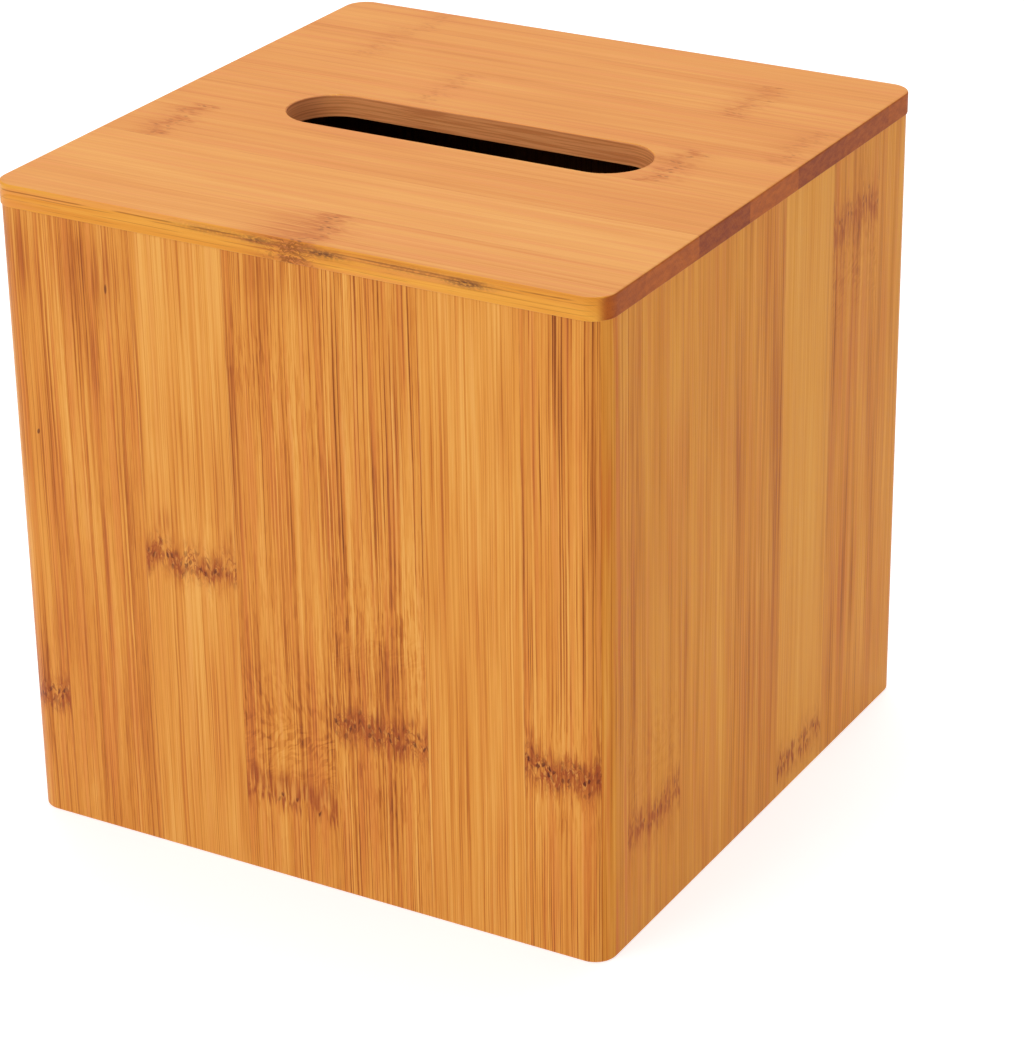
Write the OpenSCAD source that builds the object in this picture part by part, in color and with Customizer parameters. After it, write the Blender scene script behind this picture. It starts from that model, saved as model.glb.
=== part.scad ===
// Cube tissue box cover of bamboo. Four mitred walls carry a slotted top board, and a thin
// base panel slides in from the back to hold the tissue box. Every board is glued up from
// upright or lengthwise strips of bamboo. Millimetres, +Z up. The origin is on the table,
// under the middle of the cover. The front faces -Y and the right side faces +X.

/* [Cover] */
// Width of the top board, from left to right
cover_w = 145; // [130:1:180]
// Depth of the top board, from front to back
cover_d = 145; // [130:1:180]
// Height from the table to the top face
cover_h = 148; // [110:1:200]
// Radius of the walls' upright corners
corner_r = 5; // [3:0.5:9]
// How far the top board stands out past the walls
overhang = 0.3; // [0.2:0.1:2]

/* [Walls] */
// Thickness of the walls
wall_t = 6; // [5:0.5:8]
// Round on the walls' bottom edges
wall_ease = 0.5; // [0.2:0.1:1.5]

/* [Top board] */
// Thickness of the top board
top_t = 5; // [4:0.5:8]
// Round on the top board's upper edge
top_ease = 0.5; // [0.3:0.1:2.5]
// Round on the top board's lower edge
top_under_ease = 0.2; // [0.2:0.1:1]

/* [Tissue slot] */
// Length of the slot, round ends included
slot_l = 88; // [60:1:100]
// Width of the slot
slot_w = 20; // [14:0.5:22]
// Round on the slot's upper edge
slot_ease = 0.3; // [0.2:0.1:1.5]

/* [Base panel] */
// Thickness of the base panel
base_t = 3; // [2:0.5:5]
// Depth of the groove that the panel slides in
groove_depth = 2.5; // [1.5:0.1:3.5]
// Height of the wall left under the groove
lip_h = 4; // [2:0.5:8]
// Play between the panel and its groove, on every side
base_play = 0.25; // [0.15:0.05:0.5]
// How far the panel's back edge lies inside the back face
base_inset = 0.5; // [0:0.1:2]
// Radius of the panel's corners
base_corner_r = 2; // [1:0.5:4]
// Round on the panel's edges
base_ease = 0.4; // [0.2:0.1:0.9]
// Radius of the finger notch in the panel's back edge
notch_r = 12; // [8:0.5:18]

/* [Bamboo strips] */
// Number of strips in each wall
wall_strips = 7; // [5:1:8]
// Number of top strips in front of the slot
top_front_strips = 3; // [2:1:4]
// Number of top strips from the slot to the back
top_back_strips = 4; // [3:1:4]
// Width of the front wall's first strip, at its left end
front_first_w = 11; // [9:0.5:20]
// Width of the front wall's last strip, at its right end
front_last_w = 18.5; // [9:0.5:20]
// Width of the right wall's first strip, at the front
right_first_w = 10; // [9:0.5:20]
// Width of the right wall's last strip, at the back
right_last_w = 17.5; // [9:0.5:20]
// Width of the back wall's first strip, on the right side of the cover
back_first_w = 15.5; // [9:0.5:20]
// Width of the back wall's last strip, on the left side of the cover
back_last_w = 13; // [9:0.5:20]
// Width of the left wall's first strip, at the back
left_first_w = 14.5; // [9:0.5:20]
// Width of the left wall's last strip, at the front
left_last_w = 15; // [9:0.5:20]
// Width of the top board's first strip, at the front
top_first_w = 17; // [9:0.5:22]
// Width of the top board's last strip, at the back
top_last_w = 14.5; // [9:0.5:22]

/* [Hidden] */
$fn = 96;
// Overrun of every cut past the face that it opens
cut = 1;

// The walls' outline, and the room between them
case_w = cover_w - 2 * overhang;
case_d = cover_d - 2 * overhang;
wall_h = cover_h - top_t;
room_w = case_w - 2 * wall_t;
room_d = case_d - 2 * wall_t;

// The groove's height and top, where the shorter back wall ends
groove_h = base_t + 2 * base_play;
groove_top = lip_h + groove_h;

// The base panel's outline, which fills the grooves but for its play
base_w = room_w + 2 * (groove_depth - base_play);
base_front = -room_d / 2 - groove_depth + base_play;
base_back = case_d / 2 - base_inset;
base_l = base_back - base_front;
base_z = lip_h + base_play;

// The walls in turn round the cover, each seen from outside with its first strip on the left
wall_names = ["front", "right", "back", "left"];
wall_first_w = [front_first_w, right_first_w, back_first_w, left_first_w];
wall_last_w = [front_last_w, right_last_w, back_last_w, left_last_w];

// How light each strip is, as a share of the lightest, from its first strip to its last
wall_tone_shares = [
    [0.90, 0.89, 1.00, 0.94, 0.90, 0.98, 0.91],
    [0.90, 0.93, 0.89, 0.88, 1.00, 0.91, 0.94],
    [0.93, 0.98, 0.90, 0.95, 0.89, 0.97, 0.92],
    [0.95, 0.90, 0.97, 0.92, 0.99, 0.89, 0.94],
];
top_tone_shares = [0.93, 1.00, 0.91, 0.94, 0.90, 0.92, 0.95];
top_strips = top_front_strips + top_back_strips;

bamboo = [0.93, 0.66, 0.37];
panel_bamboo = [0.86, 0.66, 0.42];

// Places where a board's strips meet, from its first strip to its last. The two end strips have
// widths of their own, and the ones between them share what is left.
function joints(low, high, first_w, last_w, count) =
    let (share = (high - low - first_w - last_w) / (count - 2))
    [for (i = [0 : count - 2]) low + first_w + i * share];

// Outer ends and joints of one wall, measured along it from its middle
function wall_edges(side, length) = concat(
    [-length / 2],
    joints(-length / 2, length / 2, wall_first_w[side], wall_last_w[side], wall_strips),
    [length / 2]);

// The top board's strips are set out from the slot's front edge, which is itself a joint
top_front_share = (cover_d / 2 - slot_w / 2 - top_first_w) / (top_front_strips - 1);
top_back_share = (cover_d / 2 + slot_w / 2 - top_last_w) / (top_back_strips - 1);
top_edges = concat(
    [-cover_d / 2 - cut],
    [for (i = [0 : top_front_strips - 1]) -cover_d / 2 + top_first_w + i * top_front_share],
    [for (i = [1 : top_back_strips - 1]) -slot_w / 2 + i * top_back_share],
    [cover_d / 2 + cut]);

// A board's cross-section: a rectangle standing on the X axis, with its upper and lower corners
// rounded where a round is given
module eased_section(width, height, upper, lower) {
    translate([-width / 2, lower]) square([width, height - upper - lower]);
    for (end = [[upper, height - upper, height - upper], [lower, 0, lower]])
        if (end[0] > 0) {
            translate([-width / 2 + end[0], end[1]]) square([width - 2 * end[0], end[0]]);
            for (x = [-1, 1])
                translate([x * (width / 2 - end[0]), end[2]]) circle(r = end[0]);
        }
}

// A quarter turn of the section about an upright axis, which makes one corner of a block
module eased_corner(corner, height, upper, lower) {
    rotate_extrude(angle = 90)
        intersection() {
            eased_section(2 * corner, height, upper, lower);
            translate([0, -cut]) square([corner + cut, height + 2 * cut]);
        }
}

// A block with round upright corners and eased edges: two crossing bars and four corners
module eased_block(width, depth, height, corner, upper, lower) {
    rotate([90, 0, 90])
        linear_extrude(width - 2 * corner, center = true)
            eased_section(depth, height, upper, lower);
    rotate([90, 0, 0])
        linear_extrude(depth - 2 * corner, center = true)
            eased_section(width, height, upper, lower);
    for (turn = [0 : 3])
        let (x = [1, -1, -1, 1][turn], y = [1, 1, -1, -1][turn])
            translate([x * (width / 2 - corner), y * (depth / 2 - corner), 0])
                rotate([0, 0, 90 * turn])
                    eased_corner(corner, height, upper, lower);
}

// The groove for the base panel. It runs round the front and the two sides and out at the back.
module base_groove() {
    front = -room_d / 2 - groove_depth;
    translate([-room_w / 2 - groove_depth, front, lip_h])
        cube([room_w + 2 * groove_depth, case_d / 2 + cut - front, groove_h]);
}

// One strip of a wall. Its outer face and corner are shaped after the walls are glued up, so
// it is cut from the finished block, between its joints and the mitres at the wall's ends.
module wall_strip(side, i) {
    length = side % 2 == 0 ? case_w : case_d;
    across = side % 2 == 0 ? case_d : case_w;
    over_panel = wall_names[side] == "back";
    bottom = over_panel ? groove_top : 0;
    edges = wall_edges(side, length);
    color(bamboo * wall_tone_shares[side][i - 1])
        difference() {
            rotate([0, 0, 90 * side])
                intersection() {
                    eased_block(length, across, wall_h, corner_r, 0, wall_ease);
                    translate([0, -across / 2, bottom])
                        linear_extrude(wall_h - bottom)
                            intersection() {
                                mitred_outline(length);
                                translate([edges[i - 1], 0])
                                    square([edges[i] - edges[i - 1], wall_t]);
                            }
                }
            if (!over_panel) base_groove();
        }
}

// Plan of a wall with its two ends mitred, its outer face along the X axis
module mitred_outline(length) {
    polygon([
        [-length / 2, 0],
        [length / 2, 0],
        [length / 2 - wall_t, wall_t],
        [-length / 2 + wall_t, wall_t],
    ]);
}

// The slot through the top board, with the round on its upper edge
module tissue_slot() {
    straight = slot_l - slot_w;
    translate([0, 0, cover_h - top_t - cut]) {
        for (x = [-1, 1])
            translate([x * straight / 2, 0, 0]) cylinder(r = slot_w / 2, h = top_t + 2 * cut);
        translate([-straight / 2, -slot_w / 2, 0]) cube([straight, slot_w, top_t + 2 * cut]);
    }
    translate([0, 0, cover_h - slot_ease]) {
        for (x = [-1, 1])
            translate([x * straight / 2, 0, 0])
                rotate([0, 0, -90 * x]) rotate_extrude(angle = 180) slot_lip();
        for (turn = [0, 180])
            rotate([90, 0, 90 + turn])
                linear_extrude(straight, center = true) slot_lip();
    }
}

// What the round takes off beside the slot's upper edge, measured out from the slot's middle
module slot_lip() {
    difference() {
        square([slot_w / 2 + slot_ease, slot_ease + cut]);
        translate([slot_w / 2 + slot_ease, 0]) circle(r = slot_ease);
    }
}

// One strip of the top board, cut from the finished board between its joints
module top_strip(i) {
    color(bamboo * top_tone_shares[i - 1])
        difference() {
            intersection() {
                translate([0, 0, wall_h])
                    eased_block(cover_w, cover_d, top_t, corner_r + overhang,
                        top_ease, top_under_ease);
                translate([-cover_w / 2 - cut, top_edges[i - 1], wall_h - cut])
                    cube([cover_w + 2 * cut, top_edges[i] - top_edges[i - 1], top_t + 2 * cut]);
            }
            tissue_slot();
        }
}

// The thin panel that holds the tissue box up. It slides out at the back by its finger notch.
module base_panel() {
    color(panel_bamboo)
        difference() {
            translate([0, base_front + base_l / 2, base_z])
                eased_block(base_w, base_l, base_t, base_corner_r, base_ease, base_ease);
            translate([0, base_back, base_z]) {
                translate([0, 0, -cut]) cylinder(r = notch_r, h = base_t + 2 * cut);
                cylinder(r1 = notch_r + base_ease, r2 = notch_r, h = base_ease);
                translate([0, 0, base_t - base_ease])
                    cylinder(r1 = notch_r, r2 = notch_r + base_ease, h = base_ease);
            }
        }
}

for (side = [0 : len(wall_names) - 1])
    for (i = [1 : wall_strips])
        wall_strip(side, i);
for (i = [1 : top_strips])
    top_strip(i);
base_panel();
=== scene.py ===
import math
from types import SimpleNamespace

import bmesh
import bpy
from mathutils import Matrix, Vector


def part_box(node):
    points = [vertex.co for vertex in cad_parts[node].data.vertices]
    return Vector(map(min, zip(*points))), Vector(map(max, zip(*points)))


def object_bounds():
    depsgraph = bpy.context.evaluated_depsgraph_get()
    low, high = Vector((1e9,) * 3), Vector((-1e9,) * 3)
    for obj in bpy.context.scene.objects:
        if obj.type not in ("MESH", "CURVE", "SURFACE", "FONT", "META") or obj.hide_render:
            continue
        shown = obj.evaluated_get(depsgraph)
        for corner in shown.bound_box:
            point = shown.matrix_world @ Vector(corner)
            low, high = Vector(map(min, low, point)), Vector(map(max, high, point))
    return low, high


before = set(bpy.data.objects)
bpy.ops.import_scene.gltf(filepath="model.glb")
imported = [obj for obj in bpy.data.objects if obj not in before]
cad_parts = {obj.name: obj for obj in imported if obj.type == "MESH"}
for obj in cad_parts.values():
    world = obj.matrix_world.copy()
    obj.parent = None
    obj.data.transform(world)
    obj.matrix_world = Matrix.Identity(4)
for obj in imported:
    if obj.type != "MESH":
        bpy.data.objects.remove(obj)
cad_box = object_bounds()

# Front wall. Seven upright strips of bamboo, planed to 6 mm, glued edge to edge and sanded flush
# under a satin lacquer. Each strip keeps its own tone, its fibres and its knots, the dark bands
# where the cane had a joint.

MM = 1000.0  # the materials count in millimetres, and Blender in metres
SEAM = 0.22  # half the width of a glue line, in millimetres
TOUCH = 1e-5  # two strips nearer than this, in metres, are glued together
TURN = 0.8  # how fast the fibres pass over the edge of a board
LACQUER = 0.06  # coat weight of the satin lacquer
LACQUER_ROUGHNESS = 0.3
SANDED_ROUGHNESS = 0.38
FIBRE_HEIGHT = 0.0002  # how deep the open fibres are, in metres


class Signal:
    """An output socket that takes part in sums, so that shader maths reads as Python."""

    def __init__(self, tree, socket):
        self.tree = tree
        self.socket = socket

    def node(self, kind, settings, inputs, output=0):
        """Adds a node: its settings first, then its sockets by name or number."""
        made = self.tree.nodes.new(kind)
        for name, value in settings.items():
            if name == "stops":
                for place, _ in value[2:]:  # a new ramp already has two stops
                    made.color_ramp.elements.new(place)
                for stop, (place, colour) in zip(made.color_ramp.elements, sorted(value)):
                    stop.position = place
                    stop.color = colour
            else:
                setattr(made, name, value)
        for name, value in inputs.items():
            if isinstance(value, Signal):
                self.tree.links.new(value.socket, made.inputs[name])
            else:
                made.inputs[name].default_value = value
        return Signal(self.tree, made.outputs[output])

    def math(self, operation, *values):
        return self.node("ShaderNodeMath", {"operation": operation}, dict(enumerate(values)))

    def __add__(self, other):
        return self.math("ADD", self, other)

    def __sub__(self, other):
        return self.math("SUBTRACT", self, other)

    def __rsub__(self, other):
        return self.math("SUBTRACT", other, self)

    def __mul__(self, other):
        return self.math("MULTIPLY", self, other)

    def __truediv__(self, other):
        return self.math("DIVIDE", self, other)

    def __pow__(self, other):
        return self.math("POWER", self, other)

    def __abs__(self):
        return self.math("ABSOLUTE", self)

    __radd__ = __add__
    __rmul__ = __mul__

    def rise(self, low, high):
        """0 below low and 1 above high, with a smooth step between. High may be the smaller."""
        ends = {"From Min": low, "From Max": high, "To Min": 0.0, "To Max": 1.0}
        return self.node(
            "ShaderNodeMapRange", {"interpolation_type": "SMOOTHSTEP"}, {"Value": self} | ends
        )

    def bell(self, width):
        """1 where this is zero, falling away on both sides within about the width."""
        return self.math("EXPONENT", self * self * (-1 / width**2))

    def mix(self, low, high):
        """A colour between low and high, by this signal."""
        return self.node(
            "ShaderNodeMix", {"data_type": "RGBA"}, {"Factor": self, 6: low, 7: high}, 2
        )

    def ramp(self, stops):
        """The colour that this signal picks from a ramp."""
        return self.node("ShaderNodeValToRGB", {"stops": stops}, {"Fac": self})


def paint(red, green, blue):
    """A colour, from 0 to 255, as Blender's linear light."""
    linear = [
        c / 255 / 12.92 if c < 11 else ((c / 255 + 0.055) / 1.055) ** 2.4
        for c in (red, green, blue)
    ]
    return (*linear, 1.0)


def flat(u, v):
    """A place in the board's face, from its position across and along the fibres."""
    return u.node("ShaderNodeCombineXYZ", {}, {"X": u, "Y": v})


def noise(place, detail=2.0):
    """Soft noise about 0.5, with one blotch for each unit of place."""
    values = {"Vector": place, "Scale": 1.0, "Detail": detail, "Roughness": 0.5}
    return place.node("ShaderNodeTexNoise", {"noise_dimensions": "2D"}, values)


def dashes(place, thin, full):
    """Scattered dashes, one in each unit of place, each with its own darkness. A dash is dark
    within the distance full of its middle and gone by the distance thin."""
    settings, values = {"voronoi_dimensions": "2D"}, {"Vector": place, "Scale": 1.0}
    near = place.node("ShaderNodeTexVoronoi", settings, values, "Distance")
    own = Signal(near.tree, near.socket.node.outputs["Color"])
    own = own.node("ShaderNodeSeparateColor", {}, {"Color": own})
    return near.rise(thin, full) * own.rise(0.1, 1.0)


def strongest(marks):
    """The strongest of several masks, or nothing."""
    found = None
    for mark in marks:
        found = mark if found is None else found.math("MAXIMUM", found, mark)
    return found


def tint(colour, marks, strength, over):
    """The colour with another laid over it where the marks are."""
    mask = strongest(marks)
    return colour if mask is None else (mask * strength).mix(colour, over)


# From the palest bamboo to its darkest fibres, then its stains and pits, how much it shines,
# and how strong its finest fibres are in colour and in relief
WALL = {
    "ramp": [
        (0.0, paint(233, 167, 80)),
        (0.22, paint(224, 150, 60)),
        (0.45, paint(209, 128, 42)),
        (0.7, paint(179, 96, 22)),
        (1.0, paint(122, 54, 2)),
    ],
    "blush": paint(212, 116, 50),
    "rust": paint(160, 72, 20),
    "knot": paint(100, 36, 4),
    "sheen": 0.16,
    "fine": 0.15,
    "relief": 0.25,
}
PITH = paint(234, 166, 80)
END_GRAIN = paint(184, 92, 12)
END_FIBRE = paint(130, 48, 0)
# Painted shade for the inside of the cover, laid on the strips' inner faces
INSIDE_SHADE = paint(52, 32, 18)


def lay_out(tree, strip, across, grain, depth, seed):
    """Where a point lies on its strip, in millimetres: a across it, v along it, deep through it,
    and u across it with the fibres. And how far its face looks to the side, the end or out."""
    source = Signal(tree, tree.nodes.new("ShaderNodeTexCoord").outputs["Object"])
    turned = Signal(tree, source.socket.node.outputs["Normal"])

    def part(vector, letter):
        return vector.node("ShaderNodeSeparateXYZ", {}, {"Vector": vector}, letter.upper())

    a, v, deep = (part(source, letter) * MM for letter in (across, grain, depth))
    to_side, to_end, outward = (abs(part(turned, letter)) for letter in (across, grain, depth))
    middle = sum(strip) / 2 * MM

    # The fibres wander a little sideways along their length, and pass over the board's edges
    wander = noise(flat(a / 18 + seed, v / 45)) - 0.5
    u = a + wander * 0.6 + seed * 7 - abs(deep) * math.copysign(TURN, middle)
    return SimpleNamespace(
        a=a, v=v, deep=deep, u=u, middle=middle, wander=wander, seed=seed,
        to_side=to_side, to_end=to_end, outward=outward,
    )


def mark_knots(lie, knots):
    """The marks of a strip's knots, where the cane had a joint: a ragged row of dark pits and
    hooks in a rusty stain, with fibres of uneven length above and below. A quiet knot is a stain
    with short strokes in it, and a toothed one has pale teeth with a pit between each two. A knot
    has its place along the strip, how far its fibres reach up and down, and how its row slants."""
    marks = SimpleNamespace(loops=[], pits=[], brushes=[], stains=[], zones=[], teeth=[])
    u, v = lie.u, lie.v
    for knot in knots:
        at, up, down = knot["at"], knot.get("up", 9.0), knot.get("down", 5.0)
        strength, kind = knot.get("strength", 1.0), knot.get("kind", "pitted")

        # How far a point lies above the ragged row of the knot, in millimetres
        ragged = (noise(flat(u / 5 + at, u / 50)) - 0.5) * 7
        ragged = ragged + (noise(flat(u / 1.1, u / 40)) - 0.5) * 2.5
        off = v - (lie.a - lie.middle) * knot.get("slant", 0.0) - at - ragged

        # The fibres above and below it, of uneven length and in patches
        patch = noise(flat(u / 3.0, v / 9 + at), 1.0).rise(0.38, 0.58)
        other = noise(flat(u / 2.2 + 9, v / 9 + at), 1.0).rise(0.38, 0.58)
        ends = noise(flat(u / 0.75, u / 60 + at)).rise(0.25, 0.75)
        strands = noise(flat(u / 0.66 + 7, v / 14), 1.0).rise(0.42, 0.56)
        above = off.rise(up * (ends + 0.15), 0.0) * off.rise(-0.5, 1.0)
        reach = (ends + 0.2) * -down
        below = off.rise(reach, reach * 0.4) * off.rise(0.5, -1.0)
        brush = above * (patch * 0.6 + 0.15) + below * (other * 0.7 + 0.3)
        marks.brushes.append(brush * strands * strength)
        marks.zones.append(off.bell((up + down) * 0.8) * strength)

        # Its stain, its pits and what lies between them
        if kind == "pitted":
            stain = (off - 0.5).bell(4.0) * (patch * 0.7 + 0.3)
            broken = noise(flat(u / 1.5 + 5, off / 2.2), 1.0).rise(0.42, 0.58)
            hook = abs(noise(flat(u / 0.95, off / 1.5), 1.0) - 0.5).rise(0.12, 0.04)
            loop = hook * broken * off.bell(3.4)
            pit = dashes(flat(u / 1.2 + hook * 0.2, off / 1.9), 0.42, 0.2) * off.bell(2.8)
            tooth = noise(flat(u / 0.8 + 3, off / 2), 1.0).rise(0.58, 0.68) * off.bell(2.8)
            marks.teeth.append(tooth * strength)
        elif kind == "quiet":
            stain = (off + 1.5).bell(4.5) * (patch * 0.5 + 0.5) * 0.45
            strokes = dashes(flat(u / 1.2 + 5, (off + u * 0.3) / 3.0), 0.48, 0.28)
            loop = strokes * off.bell(4.0) * (patch * 0.5 + 0.5) * 1.2
            pit = dashes(flat(u / 1.5, off / 2.0), 0.36, 0.14) * off.bell(2.2) * 0.7
        else:
            teeth = noise(flat(u / 0.85 + 3, v / 30), 1.0)
            span = off.rise(-1.0, 0.5) * off.rise((ends + 0.5) * 5, (ends + 0.5) * 3)
            stain = (off - 3.5).bell(3.0) * (patch * 0.7 + 0.3)
            loop = teeth.rise(0.47, 0.40) * span * (patch * 0.5 + 0.5)
            pit = dashes(flat(u / 1.9, off / 2.6), 0.26, 0.12) * (off + 0.3).bell(1.4)
            marks.teeth.append(teeth.rise(0.54, 0.62) * span * strength)
        marks.stains.append(stain * strength)
        marks.loops.append(loop * strength)
        marks.pits.append(pit * strength)
    return marks


def mark_figure(lie, stretches):
    """Wavy figure over stretches of a strip, each with its place along it, its reach and its
    strength: short strokes above, slanting arcs below."""
    waves = []
    for at, reach, strength in stretches:
        across = lie.a - lie.middle
        arch = lie.v + across * 0.35 + lie.wander * 12
        strokes = noise(flat(lie.u / 0.9 + arch * 0.12, arch / 3.2), 1.0).rise(0.42, 0.60)
        swirl = noise(flat(lie.a / 6 + lie.seed, lie.v / 7), 1.0) * 7 - across * 0.9
        arcs = noise(flat((lie.a + lie.v) / 4, (lie.v + swirl) / 1.3), 1.0).rise(0.42, 0.60)
        strokes = strokes + (arcs - strokes) * (lie.v - at).rise(3.0, -3.0)
        rows = noise(flat(lie.u / 7, arch / 3), 1.0).rise(0.35, 0.6) * 0.5 + 0.5
        waves.append(strokes * rows * (lie.v - at).bell(reach) * strength)
    return waves


def bamboo(name, strip, across, grain, depth, inside, joints, palette, looks):
    """The lacquered bamboo of one strip. across, grain and depth name the axes of its width, its
    length and its thickness, inside is the place of its hidden face, joints are the places across
    where it meets its neighbours, and palette is its board's colours, with a ramp of its own for
    an edge that differs.

    looks says how the strip differs from the others, with its places in millimetres. The seed
    moves its pattern, tone is how pale it is, and contrast how far its tones spread. streaks,
    fibres and flecks are how strong its bands, its long fibres and its short ones are, blush is
    how rosy it is, and end how dark its end grain is. A stain or a nick has its place across and
    along, and its reach each way. A flame, a stretch of broken fibres, has its place along and
    its reach. Stains and flames end with their strength."""
    material = bpy.data.materials.new(name)
    material.use_nodes = True
    tree = material.node_tree
    lie = lay_out(tree, strip, across, grain, depth, looks["seed"])
    a, v, u = lie.a, lie.v, lie.u
    marks = mark_knots(lie, looks.get("knots", []))
    waves = mark_figure(lie, looks.get("figure", []))

    # Stains and flames: stretches of the strip with darker or with broken fibres
    streaky = noise(flat(u / 0.7, v / 40 + 77)).rise(0.40, 0.60) * 0.8 + 0.2
    for side, at, wide, tall, strength in looks.get("stains", []):
        spot = ((a - side) / wide).bell(1.0) * ((v - at) / tall).bell(1.0)
        marks.stains.append(spot * streaky * strength)
    for at, reach, strength in looks.get("flames", []):
        marks.zones.append((v - at - lie.wander * 30).bell(reach) * strength)

    # Broad tones, then long fibres, thick and thin, in loose groups, broken where the zones say
    fibres = looks.get("fibres", 0.5)
    broad = noise(flat(u / 9, v / 55)) - 0.5
    bands = noise(flat(u / 2.4, v / 90)) - 0.5
    soft = noise(flat(u / 0.9, v / 90)) - 0.5
    groups = noise(flat(u / 3.2, v / 50 + 31), 1.0).rise(0.36, 0.60)
    long = noise(flat(u / 0.46, v / 130)).rise(0.48, 0.62) * (groups * 0.65 + 0.35)
    thin = noise(flat(u / 0.24 + 40, v / 80), 1.0).rise(0.42, 0.66)
    short = noise(flat(u / 0.50 + 80, v / 7)).rise(0.49, 0.62)
    broken = looks.get("flecks", 0.15)
    zone = strongest(marks.zones)
    if zone is not None:
        long = long * (1 - zone * 0.6)
        broken = zone * 0.8 + broken

    # How dark each fibre is, and the colour that goes with it
    dark = broad * 0.45 + bands * looks.get("streaks", 0.5) * 0.9 + soft * 0.5
    dark = dark + (long - 0.25) * (fibres * 0.9) + (thin - 0.5) * palette["fine"]
    dark = dark + short * broken * (0.10 + fibres * 0.3)
    for mask, strength in ((strongest(waves), 0.20), (strongest(marks.stains), 0.26)):
        if mask is not None:
            dark = dark + mask * strength
    dark = dark * looks.get("contrast", 1.0) + (0.38 - (looks.get("tone", 0.5) - 0.5) * 0.5)
    colour = dark.ramp(palette["ramp"])
    # Painted light: faces that turn to the side take the palette's edge ramp, so a board's face
    # and its edges are lit and shaded copies of one bamboo, with a painted highlight on an eased
    # arris
    if "edge" in palette:
        colour = lie.to_side.rise(0.05, 0.45).mix(colour, dark.ramp(palette["edge"]))
    blush = noise(flat(u / 2.0 + 60, v / 60)).rise(0.46, 0.70) * looks.get("blush", 0.35)
    colour = blush.mix(colour, palette["blush"])
    colour = tint(colour, marks.stains, 0.35, palette["rust"])
    colour = tint(colour, marks.brushes, 0.9, palette["rust"])
    colour = tint(colour, marks.teeth, 0.35, PITH)
    colour = tint(colour, marks.loops, 0.75, palette["rust"])
    colour = tint(colour, marks.pits, 0.9, palette["knot"])

    # Nicks: the few small dark marks on a strip
    for side, at, wide, tall in looks.get("nicks", []):
        spot = ((a - side) / wide) ** 2 + ((v - at - (a - side) * 0.6) / tall) ** 2
        colour = tint(colour, [spot.rise(1.0, 0.3)], 0.8, palette["knot"])

    # Glue lines, and the mitre where two walls meet
    seams = [abs(a - joint * MM).rise(SEAM, SEAM / 4) for joint in joints]
    if "mitre" in looks:
        seams.append(abs(abs(a) - abs(lie.deep)).rise(SEAM * 1.5, SEAM / 3))
    patchy = noise(flat(v / 9 + lie.seed, a)).rise(0.35, 0.65) * 0.4 + 0.1
    colour = tint(colour, seams, patchy, palette["rust"])
    if "edge_marks" in looks:
        colour = looks["edge_marks"](colour, lie, looks)

    # End grain: the cut fibres show as fine dots, on the faces that look along the grain
    end = lie.to_end.rise(0.55, 0.9)
    dots = dashes(flat(a / 0.38 + lie.seed, lie.deep / 0.5), 0.45, 0.15)
    ripple = noise(flat(a / 3.0 + lie.seed, lie.deep / 1.2), 3.0).rise(0.3, 0.7)
    cut = (dots * 0.25 + ripple * 0.35 + looks.get("end", 0.0)).mix(END_GRAIN, END_FIBRE)
    colour = end.mix(colour, cut)
    if "slot" in looks:
        colour = looks["slot"](colour, lie)

    # Painted shade: the faces that look into the cover are painted dark brown, for the shade
    # inside it
    if inside is not None:
        inside_shade = abs(lie.deep).rise(inside + 0.9, inside + 0.2) * lie.outward.rise(0.7, 0.9)
        colour = tint(colour, [inside_shade], 0.8, INSIDE_SHADE)

    # The open fibres and the pits are a little lower, and the end grain is duller
    height = thin * 0.3 - long * 0.5
    if marks.pits:
        height = height - strongest(marks.pits)
    relief = {"Strength": palette["relief"], "Distance": FIBRE_HEIGHT, "Height": height}
    bump = height.node("ShaderNodeBump", {}, relief)
    rough = thin * 0.10 + SANDED_ROUGHNESS + end * 0.2
    shader = tree.nodes["Principled BSDF"]
    for socket, value in (("Base Color", colour), ("Roughness", rough), ("Normal", bump)):
        tree.links.new(value.socket, shader.inputs[socket])
    shader.inputs["Coat Weight"].default_value = LACQUER
    shader.inputs["Coat Roughness"].default_value = LACQUER_ROUGHNESS
    shader.inputs["Specular IOR Level"].default_value = palette["sheen"]
    return material


def dress(board, across, grain, depth, palette, strips):
    """Gives each strip of a board its own bamboo. Its joints are the edges that it shares with a
    neighbour, and its inside is the face nearest the middle of the cover."""
    nodes = [f"{board}_strip_{i + 1}" for i in range(len(strips))]
    spans = [[corner["xyz".index(across)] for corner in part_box(node)] for node in nodes]
    for i, (node, span, looks) in enumerate(zip(nodes, spans, strips)):
        others = [end for other in spans[:i] + spans[i + 1 :] for end in other]
        joints = [end for end in span if min(abs(end - other) for other in others) < TOUCH]
        inside = min(abs(corner["xyz".index(depth)]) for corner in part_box(node)) * MM
        finish = bamboo(
            node + "_bamboo", span, across, grain, depth, inside, joints, palette, looks
        )
        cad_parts[node].data.materials.clear()
        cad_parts[node].data.materials.append(finish)


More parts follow.
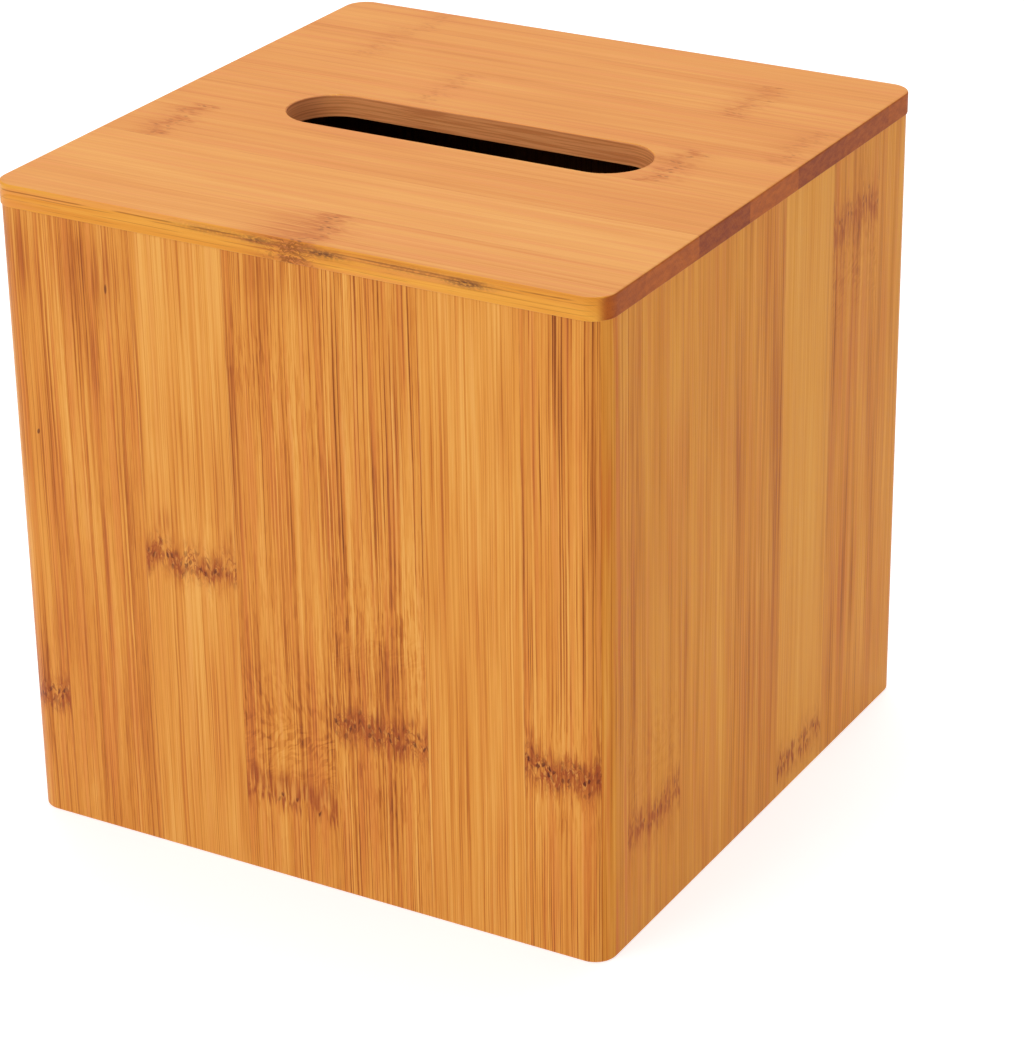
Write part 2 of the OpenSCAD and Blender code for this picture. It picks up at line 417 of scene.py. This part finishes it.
dress(
    "front", across="x", grain="z", depth="y", palette=WALL,
    strips=[
        {"seed": 3.1, "tone": 0.52, "streaks": 0.5, "fibres": 0.32, "mitre": True,
         "knots": [{"at": 30, "strength": 1.0, "up": 14, "down": 6}],
         "stains": [(-66, 133, 5, 10, 1.0), (-63, 46, 2, 9, 0.5), (-69, 34, 4, 8, 1.0),
                    (-68, 19, 3, 6, 0.5)],
         "nicks": [(-64.5, 93, 0.45, 0.7)]},
        {"seed": 17.4, "tone": 0.51, "streaks": 0.6, "fibres": 0.32, "flecks": 0.4,
         "stains": [(-47, 133, 7, 9, 1.1), (-56, 130, 2, 12, 0.8), (-48.5, 112, 1.5, 13, 0.6),
                    (-42.5, 98, 1.6, 14, 0.5), (-48.7, 40, 0.6, 42, 0.7),
                    (-39.2, 20, 1.2, 22, 0.5)],
         "nicks": [(-44.5, 129, 0.35, 1.3)]},
        {"seed": 29.8, "tone": 0.73, "streaks": 0.35, "fibres": 0.32, "blush": 0.15,
         "knots": [{"at": 70.5, "up": 6, "down": 5}],
         "stains": [(-37.6, 112, 0.5, 26, 0.8), (-18, 92, 1.2, 14, 0.6), (-33, 79, 2, 3, 0.8),
                    (-17, 76, 1.6, 5, 0.9)]},
        {"seed": 41.2, "tone": 0.55, "streaks": 0.6, "fibres": 0.38, "flecks": 0.35,
         "knots": [{"at": 19.5, "up": 3, "down": 5, "kind": "toothed"}],
         "flames": [(113, 9, 0.8), (64, 12, 0.4)], "figure": [(37, 12, 1.3)],
         "stains": [(-14.2, 104, 0.9, 44, 1.2), (-5, 23, 12, 2.2, 0.6), (-4, 140, 9, 6, 0.6)]},
        {"seed": 55.9, "tone": 0.52, "streaks": 0.7, "fibres": 0.60, "flecks": 0.3,
         "knots": [{"at": 41, "up": 15, "down": 7}],
         "flames": [(65, 14, 0.8), (25, 6, 0.6)], "figure": [(66, 15, 0.4)],
         "stains": [(12, 122, 2, 18, 0.5), (25, 116, 1.6, 22, 0.6), (19, 55, 8, 9, 0.6),
                    (20, 26, 4, 8, 0.5)]},
        {"seed": 63.3, "tone": 0.71, "streaks": 0.35, "fibres": 0.28, "blush": 0.15,
         "stains": [(49, 120, 1.5, 12, 0.4)]},
        {"seed": 78.6, "tone": 0.52, "streaks": 0.7, "fibres": 0.62, "mitre": True,
         "knots": [{"at": 43, "up": 10, "down": 5, "strength": 1.3}],
         "stains": [(62, 118, 1.6, 22, 0.6), (69.5, 105, 1.4, 18, 0.7), (55, 110, 0.8, 30, 0.5),
                    (66, 41, 8, 3, 1.2), (60, 40, 8, 2.5, 1.0)]},
    ],
)

# Right wall. The same build, with softer grain: a broad rusty streak near the front, and a dark
# one beside a pale strip near its middle. Its palette is a shaded copy of the front's, painted
# shade: a ramp a little darker and less blue, and the front's own ramp where its faces turn to
# the front.

# Painted shade: the right wall's ramp, set darker and less blue than the front's for this side's
# light
SIDE_SHADED = {
    "ramp": [
        (0.0, paint(230, 162, 64)),
        (0.22, paint(222, 148, 48)),
        (0.45, paint(210, 130, 32)),
        (0.7, paint(184, 102, 18)),
        (1.0, paint(128, 58, 2)),
    ],
    # where the wall's faces turn to the front, they are painted with the front's ramp
    "edge": WALL["ramp"],
    "blush": paint(206, 110, 42),
    "rust": paint(170, 82, 10),
    "knot": paint(132, 58, 4),
    "sheen": 0.05,
    "fine": 0.15,
    "relief": 0.25,
}

dress(
    "right", across="y", grain="z", depth="x", palette=SIDE_SHADED,
    strips=[
        {"seed": 103.7, "tone": 0.62, "streaks": 0.9, "fibres": 0.40, "contrast": 0.8,
         "mitre": True, "blush": 0.7, "stains": [(-67, 120, 3, 20, 0.6), (-65, 60, 2, 40, 0.4)]},
        {"seed": 117.2, "tone": 0.60, "streaks": 0.9, "fibres": 0.16, "contrast": 0.7,
         "knots": [{"at": 26, "kind": "quiet", "strength": 1.4, "up": 12, "down": 5}],
         "figure": [(42, 12, 0.8)],
         "stains": [(-59.5, 105, 3.0, 40, 1.2), (-60, 50, 1.6, 30, 0.8),
                    (-40, 20, 6, 6, 0.5)]},
        {"seed": 129.5, "tone": 0.58, "streaks": 0.9, "fibres": 0.18, "contrast": 0.7,
         "stains": [(-30, 15, 5, 8, 0.5), (-36.5, 45, 1.2, 30, 0.7)]},
        {"seed": 141.9, "tone": 0.48, "streaks": 1.1, "fibres": 0.18, "contrast": 0.8,
         "stains": [(-13, 100, 1.6, 26, 1.1), (4.0, 78, 2.6, 66, 1.2), (-2, 40, 2, 30, 0.6),
                    (6.6, 90, 1.0, 66, 1.3)]},
        {"seed": 155.4, "tone": 0.86, "streaks": 0.6, "fibres": 0.12, "contrast": 0.6,
         "blush": 0.1,
         "knots": [{"at": 8, "kind": "quiet", "strength": 1.3, "up": 9, "down": 5}],
         "stains": [(29.5, 80, 1.2, 60, 0.7)]},
        {"seed": 163.8, "tone": 0.42, "streaks": 1.0, "fibres": 0.20, "contrast": 0.8,
         "blush": 0.45,
         "knots": [{"at": 129, "kind": "quiet", "strength": 1.1, "up": 5, "down": 9}],
         "figure": [(118, 12, 1.0)], "stains": [(33, 100, 2.5, 40, 0.7)]},
        {"seed": 178.3, "tone": 0.54, "streaks": 1.0, "fibres": 0.20, "contrast": 0.75,
         "mitre": True, "stains": [(56, 60, 2, 30, 0.6)]},
    ],
)

# Back wall. Seven strips like the others, cut short at the foot so that the base panel can
# slide out under it.

dress(
    "back", across="x", grain="z", depth="y", palette=WALL,
    strips=[
        {"seed": 203.7, "tone": 0.48, "streaks": 0.6, "mitre": True, "fibres": 0.35,
         "stains": [(-66, 120, 3, 24, 0.7)]},
        {"seed": 217.2, "tone": 0.62, "streaks": 0.4, "fibres": 0.3, "blush": 0.2,
         "knots": [{"at": 95, "up": 8, "down": 5, "strength": 1.2}],
         "flames": [(112, 14, 0.6)]},
        {"seed": 229.5, "tone": 0.48, "streaks": 0.6, "fibres": 0.35, "flecks": 0.3,
         "stains": [(-26, 40, 2, 30, 0.8)]},
        {"seed": 241.9, "tone": 0.52, "streaks": 0.6, "fibres": 0.4,
         "knots": [{"at": 52, "slant": 0.12, "up": 14, "down": 7, "strength": 0.8}],
         "stains": [(3, 50, 9, 5, 0.7)]},
        {"seed": 255.4, "tone": 0.44, "streaks": 0.7, "fibres": 0.35,
         "figure": [(96, 16, 0.8)], "stains": [(20, 110, 1.4, 40, 0.9)]},
        {"seed": 263.8, "tone": 0.68, "streaks": 0.35, "fibres": 0.28, "blush": 0.15,
         "knots": [{"at": 118, "kind": "toothed", "slant": -0.1, "up": 4, "down": 4}]},
        {"seed": 278.3, "tone": 0.52, "streaks": 0.5, "mitre": True, "fibres": 0.4,
         "knots": [{"at": 24, "kind": "quiet", "strength": 1.3, "up": 9, "down": 5}]},
    ],
)

# Left wall. Seven upright strips, mitred and grooved as the right wall's mirror, from plain
# bamboo with a few knots, under the same satin lacquer.

dress(
    "left", across="y", grain="z", depth="x", palette=WALL | {"sheen": 0.05},
    strips=[
        {"seed": 303.7, "tone": 0.55, "streaks": 0.5, "mitre": True, "fibres": 0.35},
        {"seed": 317.2, "tone": 0.46, "streaks": 0.6, "fibres": 0.35, "flecks": 0.3,
         "knots": [{"at": 84, "slant": -0.1, "up": 11, "down": 6, "strength": 1.2}],
         "stains": [(-50, 84, 8, 4, 0.8)]},
        {"seed": 329.5, "tone": 0.64, "streaks": 0.35, "fibres": 0.3, "blush": 0.2,
         "stains": [(-24, 60, 1.2, 40, 0.8)]},
        {"seed": 341.9, "tone": 0.50, "streaks": 0.6, "fibres": 0.35, "blush": 0.5,
         "knots": [{"at": 31, "kind": "quiet", "strength": 1.5, "up": 14, "down": 6}],
         "figure": [(52, 12, 0.7)]},
        {"seed": 355.4, "tone": 0.70, "streaks": 0.3, "fibres": 0.28, "blush": 0.15,
         "knots": [{"at": 116, "slant": 0.06, "up": 6, "down": 8, "strength": 0.8}]},
        {"seed": 363.8, "tone": 0.44, "streaks": 0.7, "fibres": 0.4,
         "stains": [(38, 90, 2, 50, 0.9), (46, 30, 3, 20, 0.6)]},
        {"seed": 378.3, "tone": 0.52, "streaks": 0.5, "mitre": True, "fibres": 0.35,
         "flames": [(60, 20, 0.7)]},
    ],
)

# Top board. Seven strips from left to right, glued on the walls' upper edges, with the slot
# routed through the middle. The face is sanded smooth, and painted paler and pinker than its
# edges: its own tone with a painted reflection of the overhead light. The long grain shows on
# the front edge, and the end grain on the right edge.

BROWN = paint(150, 82, 18)
# Painted light: the slot's sides are painted as pale as the bamboo allows, to brighten them in the
# slot's shade
SOOT = paint(104, 58, 28)
ROUTED_PAINTED_LIGHT = paint(255, 172, 110)
ROUTED_LINE = paint(206, 116, 66)
SLOT = (44.0, 10.0)  # half the length and half the width of the slot, in millimetres


def mark_front_edge(colour, lie, looks):
    """Brown lines along the board's front edge, curls round its knot, and sooty smudges. A line
    has its height, its half thickness and its strength, and a curl its place along, its reach and
    its strength. A smudge has a height too, before its strength."""
    height = lie.deep - lie.wander * 0.8
    on_edge = lie.to_side.rise(0.7, 0.95)
    browns, soots = [], []
    for place, half, strength in looks.get("edge_lines", []):
        gaps = noise(flat(lie.v / 14 + place, lie.wander)).rise(0.36, 0.56)
        browns.append(abs(height - place).rise(half, half * 0.2) * gaps * strength)
    for at, reach, strength in looks.get("curls", []):
        bent = noise(flat(lie.v / 2.0, lie.deep / 3)) * 4.0
        curl = abs(noise(flat(lie.deep / 0.6 + bent, lie.v / 3.0)) - 0.5).rise(0.10, 0.02)
        browns.append(curl * ((lie.v - at) / reach).bell(1.0) * strength)
    for at, reach, place, strength in looks.get("smudges", []):
        specks = noise(flat(lie.deep / 0.45 + at, lie.v / 0.9)).rise(0.30, 0.60) * 0.7 + 0.3
        spot = ((lie.v - at) / reach).bell(1.0) * (height - place).bell(0.8)
        soots.append(spot * specks * strength)
    colour = tint(colour, browns, on_edge, BROWN)
    return tint(colour, soots, on_edge, SOOT)


def line_slot(colour, lie):
    """The slot's sides are routed through the board, and painted paler than its face, a painted
    light for the shade inside the slot, with browner lines along them.
    """
    beside = abs(lie.a).rise(SLOT[1] + 0.5, SLOT[1] + 0.4)
    within = abs(lie.v).rise(SLOT[0] + 0.5, SLOT[0] + 0.4)
    lines = noise(flat(lie.deep / 0.5 + lie.v * 0.01, lie.v / 22)).rise(0.40, 0.62)
    routed = (lines * 0.6).mix(ROUTED_PAINTED_LIGHT, ROUTED_LINE)
    return (beside * within * lie.outward.rise(0.9, 0.5) * 0.85).mix(colour, routed)


# Painted reflection: the face's ramp is paler and pinker than the edge ramp, for the overhead
# light on the top. On the eased arris, the edge ramp also paints a highlight.
TOP_WITH_PAINTED_SHEEN = {
    "ramp": [
        (0.0, paint(237, 175, 98)),
        (0.22, paint(229, 160, 85)),
        (0.45, paint(220, 144, 73)),
        (0.7, paint(199, 119, 56)),
        (1.0, paint(158, 84, 40)),
    ],
    "edge": [
        (0.0, paint(240, 176, 76)),
        (0.22, paint(233, 161, 58)),
        (0.45, paint(221, 141, 42)),
        (0.7, paint(188, 104, 24)),
        (1.0, paint(126, 58, 4)),
    ],
    "blush": paint(226, 140, 82),
    "rust": paint(200, 118, 56),
    "knot": paint(158, 92, 42),
    "sheen": 0.16,
    "fine": 0.08,
    "relief": 0.12,
}

dress(
    "top", across="y", grain="x", depth="z", palette=TOP_WITH_PAINTED_SHEEN,
    strips=[
        {"seed": 403.7, "tone": 0.60, "streaks": 0.55, "fibres": 0.12, "contrast": 0.7,
         "end": 0.15, "knots": [{"at": 3.5, "kind": "quiet", "strength": 1.7, "up": 5, "down": 8}],
         "stains": [(-67, -1, 9, 8, 1.6)],
         "edge_marks": mark_front_edge,
         "edge_lines": [(146.9, 0.24, 0.7), (146.3, 0.16, 0.5), (145.1, 0.13, 0.4),
                        (144.1, 0.12, 0.4)],
         "curls": [(1.5, 5.0, 0.9)],
         "smudges": [(-17, 9, 146.8, 0.4), (-6.5, 4, 146.6, 0.8), (9.5, 5, 146.3, 0.95),
                     (42, 5, 146.2, 1.0), (30, 12, 146.6, 0.4)]},
        {"seed": 417.2, "tone": 0.74, "streaks": 0.55, "fibres": 0.08, "contrast": 0.6},
        {"seed": 429.5, "tone": 0.46, "streaks": 0.65, "fibres": 0.10, "contrast": 0.6,
         "end": 0.5, "slot": line_slot,
         "knots": [{"at": -60.5, "kind": "quiet", "strength": 1.3, "up": 3, "down": 4}],
         "stains": [(-25, -20, 5, 16, 0.25)]},
        {"seed": 441.9, "tone": 0.50, "streaks": 0.65, "fibres": 0.09, "contrast": 0.6,
         "end": 0.0, "slot": line_slot,
         "knots": [{"at": 48.7, "kind": "quiet", "strength": 1.3, "up": 3, "down": 3}]},
        {"seed": 455.4, "tone": 0.46, "streaks": 0.65, "fibres": 0.10, "contrast": 0.6,
         "end": 0.45,
         "knots": [{"at": -19.5, "kind": "quiet", "strength": 0.5, "up": 3, "down": 3},
                   {"at": 67, "kind": "quiet", "strength": 0.6, "up": 3, "down": 3}]},
        {"seed": 463.8, "tone": 0.48, "streaks": 0.65, "fibres": 0.10, "contrast": 0.6,
         "end": 0.3,
         "knots": [{"at": -49, "kind": "quiet", "strength": 0.5, "up": 3, "down": 4},
                   {"at": 46, "kind": "quiet", "strength": 0.9, "up": 4, "down": 5}]},
        {"seed": 478.3, "tone": 0.50, "streaks": 0.65, "fibres": 0.12, "contrast": 0.6,
         "end": 0.1, "knots": [{"at": -46, "kind": "quiet", "strength": 0.4, "up": 3, "down": 3}]},
    ],
)

# Base panel. One thin sheet of bamboo in the grooves of the walls, drawn out at the back by its
# finger notch. Plainer and drier than the boards.

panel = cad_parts["base_panel"]
low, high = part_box("base_panel")
panel.data.materials.clear()
panel.data.materials.append(
    bamboo(
        "base_bamboo", (low[0], high[0]), across="x", grain="y", depth="z", inside=None,
        joints=[], palette=WALL,
        looks={"seed": 503.7, "tone": 0.6, "streaks": 0.3, "fibres": 0.4},
    )
)

# The table, the light and the camera. A pale table that glows a little, as white card does under
# studio lamps, three softboxes above it, and a lens with the photograph's angle.

TABLE_HALF = 6.0  # metres
TABLE_GREY = 0.6
TABLE_GLOW = 0.66
ROOM_GLOW = 0.40

sheet = bmesh.new()
bmesh.ops.create_grid(sheet, x_segments=1, y_segments=1, size=TABLE_HALF)
table = bpy.data.meshes.new("table")
sheet.to_mesh(table)
sheet.free()
floor = bpy.data.objects.new("table", table)
bpy.context.scene.collection.objects.link(floor)
pale = bpy.data.materials.new("pale_table")
pale.use_nodes = True
finish = pale.node_tree.nodes["Principled BSDF"].inputs
finish["Base Color"].default_value = (TABLE_GREY, TABLE_GREY, TABLE_GREY, 1)
finish["Roughness"].default_value = 0.8
finish["Emission Color"].default_value = (1, 1, 1, 1)
finish["Emission Strength"].default_value = TABLE_GLOW
table.materials.append(pale)

world = bpy.data.worlds.new("studio")
world.use_nodes = True
world.node_tree.nodes["Background"].inputs["Color"].default_value = (1, 1, 1, 1)
world.node_tree.nodes["Background"].inputs["Strength"].default_value = ROOM_GLOW
bpy.context.scene.world = world

cover_middle = Vector((0, 0, cad_box[1][2] / 2))
for name, place, size, power in (
    ("key", (-0.5, -1.1, 1.0), 0.8, 7.2),
    ("fill", (1.2, -0.3, 0.7), 0.9, 1.0),
    ("overhead", (-0.2, 0.5, 1.4), 1.0, 13),
):
    lamp = bpy.data.lights.new(name, "AREA")
    lamp.size = size
    lamp.energy = power
    softbox = bpy.data.objects.new(name, lamp)
    softbox.location = place
    aim = cover_middle - Vector(place)
    softbox.rotation_euler = aim.to_track_quat("-Z", "Y").to_euler()
    bpy.context.scene.collection.objects.link(softbox)

bpy.context.scene.view_settings.view_transform = "Standard"

AZIMUTH = math.radians(30.02)
ELEVATION = math.radians(25.11)
ROLL = math.radians(-0.84)
EYE = Vector((0.3756, -0.6331, 0.4002))
FOCAL_PIXELS = 3615.3
IMAGE_HEIGHT = 1049
back = Vector((
    math.sin(AZIMUTH) * math.cos(ELEVATION),
    -math.cos(AZIMUTH) * math.cos(ELEVATION),
    math.sin(ELEVATION),
))
right = (-back).cross(Vector((0, 0, 1))).normalized()
up = right.cross(-back)
rolled_right = math.cos(ROLL) * right + math.sin(ROLL) * up
rolled_up = -math.sin(ROLL) * right + math.cos(ROLL) * up
lens = bpy.data.cameras.new("camera")
lens.sensor_width = 36.0
lens.lens = FOCAL_PIXELS / IMAGE_HEIGHT * lens.sensor_width
lens.clip_start = 0.05
camera = bpy.data.objects.new("camera", lens)
camera.matrix_world = Matrix.Translation(EYE) @ Matrix(
    (rolled_right, rolled_up, back)
).transposed().to_4x4()
bpy.context.scene.collection.objects.link(camera)
bpy.context.scene.camera = camera
